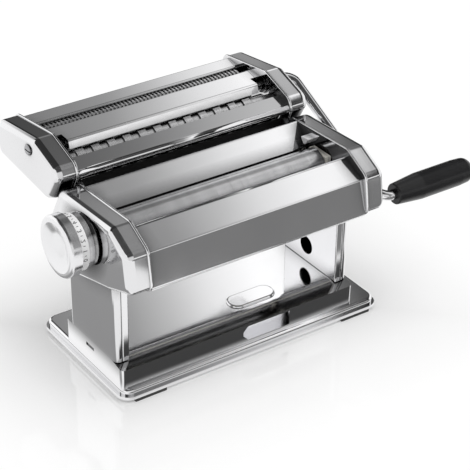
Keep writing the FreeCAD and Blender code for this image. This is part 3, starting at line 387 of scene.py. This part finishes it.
def digit_mesh(text):
    curve = bpy.data.curves.new("digit", "FONT")
    curve.body = text
    curve.size = DIGIT_SIZE
    curve.align_x = "CENTER"
    curve.align_y = "CENTER"
    curve.extrude = PRINT_HEIGHT
    holder = bpy.data.objects.new("digit", curve)
    bpy.context.collection.objects.link(holder)
    bpy.context.view_layer.update()
    data = bpy.data.meshes.new_from_object(holder)
    bpy.data.objects.remove(holder)
    return data


digits = bmesh.new()
for number in DIGITS:
    data = digit_mesh(str(number))
    data.transform(band_place(FIRST_DIGIT - CLICK * number))
    digits.from_mesh(data)
finish_piece("band_digits", digits, print_black, "knob", smooth=False)
print("digits:", len(DIGITS))

# %% Strokes between the digits
STROKE_WIDTH, STROKE_LENGTH = 0.4 * MM, 1.6 * MM

strokes = bmesh.new()
for number in DIGITS:
    made = bmesh.ops.create_cube(strokes, size=1.0)["verts"]
    shape = Matrix.Diagonal((STROKE_WIDTH, STROKE_LENGTH, PRINT_HEIGHT * 2, 1))
    half_way = FIRST_DIGIT - CLICK * (number + 0.5)
    bmesh.ops.transform(strokes, verts=made, matrix=band_place(half_way) @ shape)
finish_piece("band_strokes", strokes, print_black, "knob", smooth=False)
print("strokes", round(CLICK), "degrees apart")

# %% [markdown]
# The sheet edges that a hand can touch are rolled into a bead: a thin rod of
# the same steel along the edge. A round curve would draw it too, but a mesh is
# what the other pieces are, so a filled circle is extruded across the width,
# which leaves both ends closed.

# %% Rolled beads
BEAD_SIDES = 20
BEAD_INSET = 0.3 * MM
TOP_RADIUS, LOW_RADIUS, LIP_RADIUS = 1.3 * MM, 1.5 * MM, 2.5 * MM


def bead(name, start, end, y, z, radius, body):
    mesh = bmesh.new()
    ring = bmesh.ops.create_circle(mesh, cap_ends=True, segments=BEAD_SIDES, radius=radius)["verts"]
    bmesh.ops.transform(mesh, verts=ring, matrix=Matrix.Translation((start, y, z))
                        @ Matrix.Rotation(math.radians(90), 4, "Y"))
    grown = bmesh.ops.extrude_face_region(mesh, geom=mesh.faces[:])["geom"]
    moved = [item for item in grown if isinstance(item, bmesh.types.BMVert)]
    bmesh.ops.translate(mesh, verts=moved, vec=(end - start, 0, 0))
    return finish_piece(name, mesh, bead_steel, body)


plate_low, plate_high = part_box("front_plate")
bead_ends = plate_low[0] + BEAD_INSET, plate_high[0] - BEAD_INSET
top_edge = HOME.y - 52.2 * MM, plate_high[2] - 0.9 * MM
low_edge = HOME.y - 77.2 * MM, 103.9 * MM
lip_edge = HOME.y + 18.6 * MM, 148.4 * MM
bead("front_top_bead", *bead_ends, *top_edge, TOP_RADIUS, "frame")
bead("front_low_bead", *bead_ends, *low_edge, LOW_RADIUS, "frame")
bead("cutter_lip_bead", *bead_ends, *lip_edge, LIP_RADIUS, "cutter")
print("beads along the front edges,", round((bead_ends[1] - bead_ends[0]) / MM), "mm long")

# %% [markdown]
# The picture. Polished steel shows only what stands around it, so the stage is
# an arch of paper over the table: bright on the right, falling to dark above
# the machine, with soft windows on the left and a dark board on the right.
# Flat sheets then fade from grey to white along the machine, and the darker
# strips between the lit ones give every rounded edge its dark line.

# %% Stage helpers
def stage_piece(name, mesh, finish):
    data = bpy.data.meshes.new(name)
    mesh.to_mesh(data)
    mesh.free()
    data.materials.append(finish.material)
    made = bpy.data.objects.new(name, data)
    bpy.context.collection.objects.link(made)
    return made


def hidden(made):
    """Only shiny surfaces see it: it gives them something to mirror and lights nothing."""
    made.visible_camera = False
    made.visible_diffuse = False
    made.visible_shadow = False
    return made


def glow(name, level):
    """Paper that gives off a grey level: a number, or a function that draws it on the finish."""
    finish = Finish(name)
    finish.set(Base_Color=(0, 0, 0, 1), Roughness=1.0, Emission_Strength=1.0)
    shade = level(finish) if callable(level) else (level, level, level, 1.0)
    finish.set(Emission_Color=shade)
    return finish


def card(name, centre, aim, width, height, level):
    mesh = bmesh.new()
    bmesh.ops.create_grid(mesh, x_segments=1, y_segments=1, size=0.5)
    toward = (Vector(aim) - Vector(centre)).to_track_quat("Z", "Y").to_matrix().to_4x4()
    shape = Matrix.Diagonal((width, height, 1, 1))
    bmesh.ops.transform(mesh, verts=mesh.verts, matrix=Matrix.Translation(centre) @ toward @ shape)
    return hidden(stage_piece(name, mesh, glow(name, level)))


print("stage helpers ready")

# %% [markdown]
# The arch. Many small cards would show as steps in the steel, so one sheet runs
# from the table in front, over the machine, to the table behind it: an edge as
# long as the arch is wide, spun by half a turn. Its grey is a product of ramps,
# some along the machine and some over the arch.

# %% Levels of the arch
ARCH_LEFT, ARCH_RIGHT = -1.3, 1.6
ARCH_GLOW = 1.12
FADE = [(0.20, 0.05), (0.30, 0.19), (0.38, 0.25), (0.44, 0.31), (0.51, 0.52), (0.58, 0.80), (0.66, 1.0),
        (0.71, 1.0), (0.76, 0.28), (0.84, 0.06)]
STRIPS = [(29, 0.30), (36, 1.0), (50, 1.0), (56, 0.5), (79, 0.5), (84, 1.0), (98, 1.0), (103, 0.9),
          (112, 0.9), (117, 1.0), (131, 1.0), (137, 0.8)]
BOARD = [(0.69, 0.0), (0.73, 0.92)], [(102, 0.0), (110, 1.0)]
WINDOWS = [([(-0.36, 1.0), (-0.30, 0.0)], [(48, 1.0), (54, 0.0)]),
           ([(0.02, 1.0), (0.08, 0.0)], [(29, 1.0), (33, 0.0)]),
           ([(0.18, 0.7), (0.30, 0.0)], [(136, 0.0), (150, 1.0)])]


def arch_shade(finish):
    """Grey levels along the machine and over the arch, from 0 at the back to 180 degrees in front."""
    along, deep, height = finish.axes()
    span = (along - (HOME.x + ARCH_LEFT)) * (1 / (ARCH_RIGHT - ARCH_LEFT))
    turn = height.sum("ARCTAN2", height, deep) * (1 / math.pi)

    def across(levels):
        return finish.ramp(span, [((x - ARCH_LEFT) / (ARCH_RIGHT - ARCH_LEFT), (grey,) * 3)
                                  for x, grey in levels])

    def over(levels):
        return finish.ramp(turn, [(angle / 180, (grey,) * 3) for angle, grey in levels])

    shade = across(FADE) * over(STRIPS) * (1.0 - across(BOARD[0]) * over(BOARD[1]))
    for side, top in WINDOWS:
        shade = shade.most(across(side) * over(top))
    return shade * ARCH_GLOW


print("levels along the machine:", len(FADE), "- over the arch:", len(STRIPS))

# %% Paper arch
ARCH_RADIUS = 1.1
ARCH_STEPS = 24

arch = bmesh.new()
foot = [arch.verts.new((HOME.x + x, -ARCH_RADIUS, 0)) for x in (ARCH_LEFT, ARCH_RIGHT)]
bmesh.ops.spin(arch, geom=[*foot, arch.edges.new(foot)], cent=(0, 0, 0), axis=(-1, 0, 0),
               angle=math.pi, steps=ARCH_STEPS)
for face in arch.faces:
    face.smooth = True
hidden(stage_piece("paper_arch", arch, glow("paper_arch", arch_shade)))
print("arch of", ARCH_STEPS, "strips")

# %% [markdown]
# Two cards in front fill what the arch leaves open: a low grey board close to
# the machine, and a bright strip further out. Lamps could stand there instead,
# but they would also light the floor and wash out the shadow.

# %% Cards
card("front_wall", centre=HOME + Vector((0.30, -0.52, 0.03)), aim=HOME + Vector((0.10, 0, 0.03)),
     width=1.0, height=0.10, level=0.21)
card("front_strip", centre=HOME + Vector((0.80, -1.05, 0.27)), aim=HOME + Vector((0.80, 0, 0.27)),
     width=1.0, height=0.38, level=1.0)
print("two cards in front")

# %% [markdown]
# The floor is white and keeps the shadow. Near the machine it is a polished
# sheet that mirrors the base a little, and further out it fades into the even
# white of the backdrop. Shiny surfaces see it at full white, apart from a few
# soft grey patches. The one left of the machine is a painted shadow of the
# machine, and the two in front stand for the darker room around a real table.
# Loose cards could lie there, but they would cut into the shadow.

# %% Grey patches
WHITE = (1.0, 1.0, 1.0, 1.0)
PATCH_EDGE = 12 * MM
# The first patch is a painted shadow of the machine on the floor, seen only in the steel.
PATCHES = [(-215, -125, -60, 125, 0.33), (-100, 170, -100, -73, 0.04), (85, 460, -460, -120, 0.20)]


def patched(finish):
    """White with the grey patches, each given by its left, right, front, back and level."""
    along, deep, _ = finish.axes()

    def rise(wire, start, end):
        return finish.node("ShaderNodeMapRange", {"interpolation_type": "SMOOTHSTEP"},
                           {"Value": wire, "From Min": start, "From Max": end})

    def between(wire, low, high):
        return rise(wire, low - PATCH_EDGE, low) * rise(wire, high + PATCH_EDGE, high)

    shade = WHITE
    for left, right, front, back, grey in PATCHES:
        inside = (between(along, HOME.x + left * MM, HOME.x + right * MM)
                  * between(deep, HOME.y + front * MM, HOME.y + back * MM))
        shade = finish.mix(inside, shade, (grey, grey, grey, 1.0))
    return finish.mix(finish.ray("Glossy"), WHITE, shade)


print("floor with", len(PATCHES), "patches")

# %% Floor
FLOOR_HALF = 6.0
FLOOR_GLOW = [(0.0, 0.22), (0.2, 0.6), (0.5, 0.93), (1.0, 1.0)]
GLOW_REACH = 0.2
PAPER = {"Base Color": (0.96, 0.96, 0.96, 1.0), "Roughness": 0.07, "IOR": 2.2}


def faded(finish):
    """How white the floor is for the camera, by the distance from the base."""
    along, deep, _ = finish.axes()
    low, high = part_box("base_tray")
    gaps = []
    for wire, axis in ((along, 0), (deep, 1)):
        offset = wire - middle("base_tray", axis)
        gaps.append(offset.sum("ABSOLUTE", offset, 0.0) - (high[axis] - low[axis]) / 2)
    distance = gaps[0].most(gaps[1]) * (1 / GLOW_REACH)
    return finish.ramp(distance, [(place, (grey,) * 3) for place, grey in FLOOR_GLOW])


floor_mesh = bmesh.new()
bmesh.ops.create_grid(floor_mesh, x_segments=1, y_segments=1, size=FLOOR_HALF)
floor_finish = glow("floor_white", patched)
paper = floor_finish.node("ShaderNodeBsdfPrincipled", None, PAPER)
lit = (floor_finish.ray("Camera") * faded(floor_finish)).most(floor_finish.ray("Glossy"))
lit = lit.most(floor_finish.ray("Transmission"))
floor_finish.feed(floor_finish.output, "Surface", floor_finish.node(
    "ShaderNodeMixShader", None,
    {0: lit, 1: paper, 2: Wire(floor_finish, floor_finish.shader.outputs[0])}))
stage_piece("floor", floor_mesh, floor_finish)
print("floor fades to white over", GLOW_REACH, "m")

# %% [markdown]
# Two soft lamps make the shadow; the world is the even white of the backdrop.
# Camera, glossy and transmission rays see it at full white. The rest get a
# lower level, so that colours render as they are written.

# %% Lamps and world
HEART = HOME + Vector((0, 0, 90 * MM))
WORLD_SEEN, WORLD_LIGHT = 1.0, 0.6
KEY_POWER, FILL_POWER = 14.0, 5.0
LAMP_WIDTH = 1.2


def lamp(name, place, power):
    data = bpy.data.lights.new(name, "AREA")
    data.energy = power
    data.size = LAMP_WIDTH
    made = bpy.data.objects.new(name, data)
    made.location = place
    made.rotation_euler = (made.location - HEART).to_track_quat("Z", "Y").to_euler()
    bpy.context.collection.objects.link(made)


lamp("key_lamp", HOME + Vector((0.7, -0.6, 1.7)), KEY_POWER)
lamp("fill_lamp", HOME + Vector((-0.9, -0.5, 1.5)), FILL_POWER)

world = bpy.data.worlds.new("studio")
bpy.context.scene.world = world
world.use_nodes = True
studio = Graph(world.node_tree)
direct = studio.ray("Camera").most(studio.ray("Glossy")).most(studio.ray("Transmission"))
studio.end("ShaderNodeOutputWorld", studio.node(
    "ShaderNodeBackground", None,
    {"Color": WHITE, "Strength": direct * (WORLD_SEEN - WORLD_LIGHT) + WORLD_LIGHT}))
print("lamps and world set")

# %% [markdown]
# A long lens from the left, at the height of a person standing at the table,
# which keeps parallel edges almost parallel. A tracking turn could aim it, but
# the slight roll of the view is easier to give by the camera's own axes.

# %% Camera
IMAGE = 470
SENSOR = 36.0
FOCAL = 1728.6
AZIMUTH, ELEVATION, ROLL = math.radians(-34.684), math.radians(31.1945), math.radians(0.6437)
DISTANCE = 1.27245
AIM = HOME + Vector((18.62, -17.92, 80)) * MM

away = Vector((math.sin(AZIMUTH) * math.cos(ELEVATION), -math.cos(AZIMUTH) * math.cos(ELEVATION),
               math.sin(ELEVATION)))
sideways = Vector((math.cos(AZIMUTH), math.sin(AZIMUTH), 0))
up = away.cross(sideways)
tilted_side = sideways * math.cos(ROLL) + up * math.sin(ROLL)
tilted_up = up * math.cos(ROLL) - sideways * math.sin(ROLL)
camera_data = bpy.data.cameras.new("camera")
camera_data.sensor_width = SENSOR
camera_data.lens = FOCAL / IMAGE * SENSOR
camera = bpy.data.objects.new("camera", camera_data)
camera.matrix_world = Matrix.Translation(AIM + away * DISTANCE) @ Matrix(
    (tilted_side, tilted_up, away)).transposed().to_4x4()
bpy.context.collection.objects.link(camera)
bpy.context.scene.camera = camera
bpy.context.scene.view_settings.view_transform = "Standard"
print("camera at", [round(v, 3) for v in camera.matrix_world.translation])
